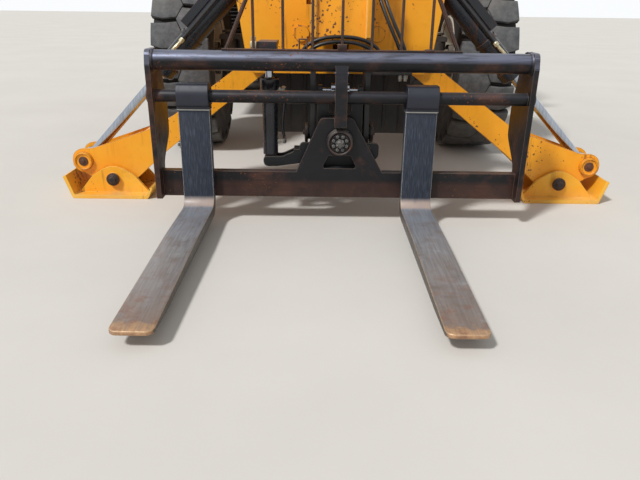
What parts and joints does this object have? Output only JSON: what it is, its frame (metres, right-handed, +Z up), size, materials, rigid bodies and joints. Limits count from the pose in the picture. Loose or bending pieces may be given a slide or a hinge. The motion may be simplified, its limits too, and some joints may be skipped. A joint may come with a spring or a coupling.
{
  "type": "telehandler",
  "caption": "Four-wheeled telescopic handler with a three-section boom, a fork carriage that tilts and swings, two front stabiliser legs, a side cab and steered wheels.",
  "frame": {"origin": "on the ground under the middle of the machine's length and width", "axes": "+Z up, the forks point along -Y, the cab stands on the +X side"},
  "size_m": [3.09, 7.63, 2.6],
  "materials": {
    "orange_paint": "worn gloss",
    "black_paint": "worn satin",
    "rim_paint": "satin",
    "fork_steel": "worn mill scale and rust",
    "rod_chrome": "polished",
    "tyre_rubber": "matt",
    "cast_mass": "rough",
    "engine_mass": "rough",
    "tank_plastic": "matt",
    "window_glass": "clear",
    "seat_vinyl": "matt",
    "cab_plastic": "matt",
    "hose_rubber": "matt",
    "lamp_lens": "clear"
  },
  "bodies": {
    "root": {"chassis_frame": "orange_paint", "stabiliser_tower": "orange_paint", "front_axle": "cast_mass", "rear_axle": "cast_mass", "counterweight": "cast_mass", "tow_hitch": "black_paint", "fuel_tank": "tank_plastic", "engine_tray": "black_paint", "engine_block": "engine_mass", "cab_shell": "orange_paint", "cab_glass": "window_glass", "seat": "seat_vinyl", "dash": "cab_plastic", "fenders": "cab_plastic", "lamps": "lamp_lens", "exhaust": "black_paint", "mirrors": "cab_plastic"},
    "cab_door": {"cab_door": "black_paint", "door_glass": "window_glass"},
    "engine_bonnet": {"engine_bonnet": "orange_paint"},
    "steering_wheel": {"steering_wheel": "cab_plastic"},
    "front_steer_rod": {"front_steer_rod": "rod_chrome"},
    "front_right_knuckle": {"front_right_knuckle": "cast_mass"},
    "front_right_wheel": {"front_right_rim": "rim_paint", "front_right_tyre": "tyre_rubber"},
    "front_left_knuckle": {"front_left_knuckle": "cast_mass"},
    "front_left_wheel": {"front_left_rim": "rim_paint", "front_left_tyre": "tyre_rubber"},
    "rear_steer_rod": {"rear_steer_rod": "rod_chrome"},
    "rear_right_knuckle": {"rear_right_knuckle": "cast_mass"},
    "rear_right_wheel": {"rear_right_rim": "rim_paint", "rear_right_tyre": "tyre_rubber"},
    "rear_left_knuckle": {"rear_left_knuckle": "cast_mass"},
    "rear_left_wheel": {"rear_left_rim": "rim_paint", "rear_left_tyre": "tyre_rubber"},
    "boom_outer": {"boom_outer": "orange_paint"},
    "boom_mid": {"boom_mid": "orange_paint"},
    "boom_inner": {"boom_inner": "orange_paint", "head_hoses": "hose_rubber"},
    "lift_barrel": {"lift_barrel": "black_paint"},
    "lift_rod": {"lift_rod": "rod_chrome"},
    "tilt_barrel": {"tilt_barrel": "black_paint"},
    "tilt_rod": {"tilt_rod": "rod_chrome"},
    "hitch": {"hitch": "black_paint"},
    "swing_barrel": {"swing_barrel": "black_paint"},
    "swing_rod": {"swing_rod": "rod_chrome"},
    "left_fork": {"left_fork": "fork_steel"},
    "right_fork": {"right_fork": "fork_steel"},
    "carriage": {"fork_carriage": "black_paint", "load_backrest": "black_paint"},
    "right_leg": {"right_leg": "orange_paint"},
    "right_foot": {"right_foot": "orange_paint"},
    "right_ram_barrel": {"right_ram_barrel": "black_paint"},
    "right_ram_rod": {"right_ram_rod": "rod_chrome"},
    "left_leg": {"left_leg": "orange_paint"},
    "left_foot": {"left_foot": "orange_paint"},
    "left_ram_barrel": {"left_ram_barrel": "black_paint"},
    "left_ram_rod": {"left_ram_rod": "rod_chrome"}
  },
  "joints": [
    {"name": "cab_door_hinge", "type": "hinge", "parent": "root", "child": "cab_door", "pos_m": [1.229, 1.369, 1.7], "axis": [0, 0, 1], "range_deg": [0, 85]},
    {"name": "bonnet_hinge", "type": "hinge", "parent": "root", "child": "engine_bonnet", "pos_m": [-0.377, 1.02, 1.508], "axis": [0, 1, 0], "range_deg": [0, 65]},
    {"name": "steering_wheel_turn", "type": "hinge", "parent": "root", "child": "steering_wheel", "pos_m": [0.745, 0.64153, 1.5591], "axis": [0, 0.5501, 0.8351], "range_deg": [-540, 540]},
    {"name": "front_right_steer", "type": "hinge", "parent": "root", "child": "front_right_knuckle", "pos_m": [0.8, -0.595, 0.65], "axis": [0, 0, 1], "range_deg": [-30, 30]},
    {"name": "front_right_roll", "type": "hinge", "parent": "front_right_knuckle", "child": "front_right_wheel", "pos_m": [1.05, -0.595, 0.65], "axis": [1, 0, 0], "continuous": true},
    {"name": "front_left_steer", "type": "hinge", "parent": "root", "child": "front_left_knuckle", "pos_m": [-0.8, -0.595, 0.65], "axis": [0, 0, 1], "range_deg": [-30, 30]},
    {"name": "front_left_roll", "type": "hinge", "parent": "front_left_knuckle", "child": "front_left_wheel", "pos_m": [-1.05, -0.595, 0.65], "axis": [1, 0, 0], "continuous": true},
    {"name": "front_steer_slide", "type": "slide", "parent": "root", "child": "front_steer_rod", "axis": [1, 0, 0], "range_m": [-0.11, 0.11]},
    {"name": "rear_right_steer", "type": "hinge", "parent": "root", "child": "rear_right_knuckle", "pos_m": [0.8, 2.605, 0.65], "axis": [0, 0, 1], "range_deg": [-30, 30]},
    {"name": "rear_right_roll", "type": "hinge", "parent": "rear_right_knuckle", "child": "rear_right_wheel", "pos_m": [1.05, 2.605, 0.65], "axis": [1, 0, 0], "continuous": true},
    {"name": "rear_left_steer", "type": "hinge", "parent": "root", "child": "rear_left_knuckle", "pos_m": [-0.8, 2.605, 0.65], "axis": [0, 0, 1], "range_deg": [-30, 30]},
    {"name": "rear_left_roll", "type": "hinge", "parent": "rear_left_knuckle", "child": "rear_left_wheel", "pos_m": [-1.05, 2.605, 0.65], "axis": [1, 0, 0], "continuous": true},
    {"name": "rear_steer_slide", "type": "slide", "parent": "root", "child": "rear_steer_rod", "axis": [1, 0, 0], "range_m": [-0.11, 0.11]},
    {"name": "boom_lift", "type": "hinge", "parent": "root", "child": "boom_outer", "pos_m": [0, 3.355, 1.95], "axis": [-1, 0, 0], "range_deg": [0, 62]},
    {"name": "lift_barrel_turn", "type": "hinge", "parent": "root", "child": "lift_barrel", "pos_m": [0, 2.705, 0.95], "axis": [-1, 0, 0], "range_deg": [-1, 56]},
    {"name": "lift_rod_slide", "type": "slide", "parent": "lift_barrel", "child": "lift_rod", "axis": [0, -0.9471, 0.321], "range_m": [-0.01, 1.22]},
    {"name": "boom_mid_slide", "type": "slide", "parent": "boom_outer", "child": "boom_mid", "axis": [0, -0.9969, -0.0785], "range_m": [0, 4]},
    {"name": "boom_inner_slide", "type": "slide", "parent": "boom_mid", "child": "boom_inner", "axis": [0, -0.9969, -0.0785], "range_m": [0, 4.01]},
    {"name": "hitch_tilt", "type": "hinge", "parent": "boom_inner", "child": "hitch", "pos_m": [0, -2.365, 0.43], "axis": [-1, 0, 0], "range_deg": [-90, 12]},
    {"name": "tilt_barrel_turn", "type": "hinge", "parent": "boom_inner", "child": "tilt_barrel", "pos_m": [0, -2.115, 1.29], "axis": [-1, 0, 0], "range_deg": [-5, 5]},
    {"name": "tilt_rod_slide", "type": "slide", "parent": "tilt_barrel", "child": "tilt_rod", "axis": [0, -0.4191, -0.908], "range_m": [-0.06, 0.31]},
    {"name": "carriage_swing", "type": "hinge", "parent": "hitch", "child": "carriage", "pos_m": [0, -2.52, 0.42], "axis": [0, 1, 0], "range_deg": [-8, 8]},
    {"name": "swing_barrel_turn", "type": "hinge", "parent": "hitch", "child": "swing_barrel", "pos_m": [-0.35, -2.43, 0.31], "axis": [0, 1, 0], "range_deg": [-8, 8]},
    {"name": "swing_rod_slide", "type": "slide", "parent": "swing_barrel", "child": "swing_rod", "axis": [0, 0, 1], "range_m": [-0.06, 0.06]},
    {"name": "left_fork_slide", "type": "slide", "parent": "carriage", "child": "left_fork", "axis": [1, 0, 0], "range_m": [-0.1, 0.55]},
    {"name": "right_fork_slide", "type": "slide", "parent": "carriage", "child": "right_fork", "axis": [1, 0, 0], "range_m": [-0.235, 0.415]},
    {"name": "right_leg_turn", "type": "hinge", "parent": "root", "child": "right_leg", "pos_m": [0.2, -1.995, 0.905], "axis": [0, -1, 0], "range_deg": [0, 85]},
    {"name": "right_foot_turn", "type": "hinge", "parent": "right_leg", "child": "right_foot", "pos_m": [1.28, -1.995, 0.1], "axis": [0, -1, 0], "range_deg": [-15, 5]},
    {"name": "right_ram_turn", "type": "hinge", "parent": "root", "child": "right_ram_barrel", "pos_m": [0.36, -1.995, 1.34], "axis": [0, -1, 0], "range_deg": [-1, 98]},
    {"name": "right_ram_slide", "type": "slide", "parent": "right_ram_barrel", "child": "right_ram_rod", "axis": [0.6895, 0, -0.7243], "range_m": [-0.62, 0.01]},
    {"name": "left_leg_turn", "type": "hinge", "parent": "root", "child": "left_leg", "pos_m": [-0.2, -1.995, 0.905], "axis": [0, 1, 0], "range_deg": [0, 85]},
    {"name": "left_foot_turn", "type": "hinge", "parent": "left_leg", "child": "left_foot", "pos_m": [-1.28, -1.995, 0.1], "axis": [0, 1, 0], "range_deg": [-15, 5]},
    {"name": "left_ram_turn", "type": "hinge", "parent": "root", "child": "left_ram_barrel", "pos_m": [-0.36, -1.995, 1.34], "axis": [0, 1, 0], "range_deg": [-1, 98]},
    {"name": "left_ram_slide", "type": "slide", "parent": "left_ram_barrel", "child": "left_ram_rod", "axis": [-0.6895, 0, -0.7243], "range_m": [-0.62, 0.01]}
  ],
  "couplings": [
    {"joint": "front_left_steer", "follows": "front_right_steer", "ratio": 1},
    {"joint": "rear_right_steer", "follows": "front_right_steer", "ratio": -1},
    {"joint": "rear_left_steer", "follows": "front_right_steer", "ratio": -1},
    {"joint": "front_steer_slide", "follows": "front_right_steer", "m_per_rad": -0.19576},
    {"joint": "rear_steer_slide", "follows": "front_right_steer", "m_per_rad": -0.19576},
    {"joint": "lift_barrel_turn", "follows": "boom_lift", "ratio": 0.88416},
    {"joint": "lift_rod_slide", "follows": "boom_lift", "m_per_rad": 1.1079},
    {"joint": "boom_inner_slide", "follows": "boom_mid_slide", "ratio": 1},
    {"joint": "tilt_barrel_turn", "follows": "hitch_tilt", "ratio": -0.02268},
    {"joint": "tilt_rod_slide", "follows": "hitch_tilt", "m_per_rad": -0.19338},
    {"joint": "swing_barrel_turn", "follows": "carriage_swing", "ratio": 0.79},
    {"joint": "swing_rod_slide", "follows": "carriage_swing", "m_per_rad": 0.35},
    {"joint": "right_ram_turn", "follows": "right_leg_turn", "ratio": 1.1199},
    {"joint": "right_ram_slide", "follows": "right_leg_turn", "m_per_rad": -0.39466},
    {"joint": "left_ram_turn", "follows": "left_leg_turn", "ratio": 1.1199},
    {"joint": "left_ram_slide", "follows": "left_leg_turn", "m_per_rad": -0.39466}
  ]
}
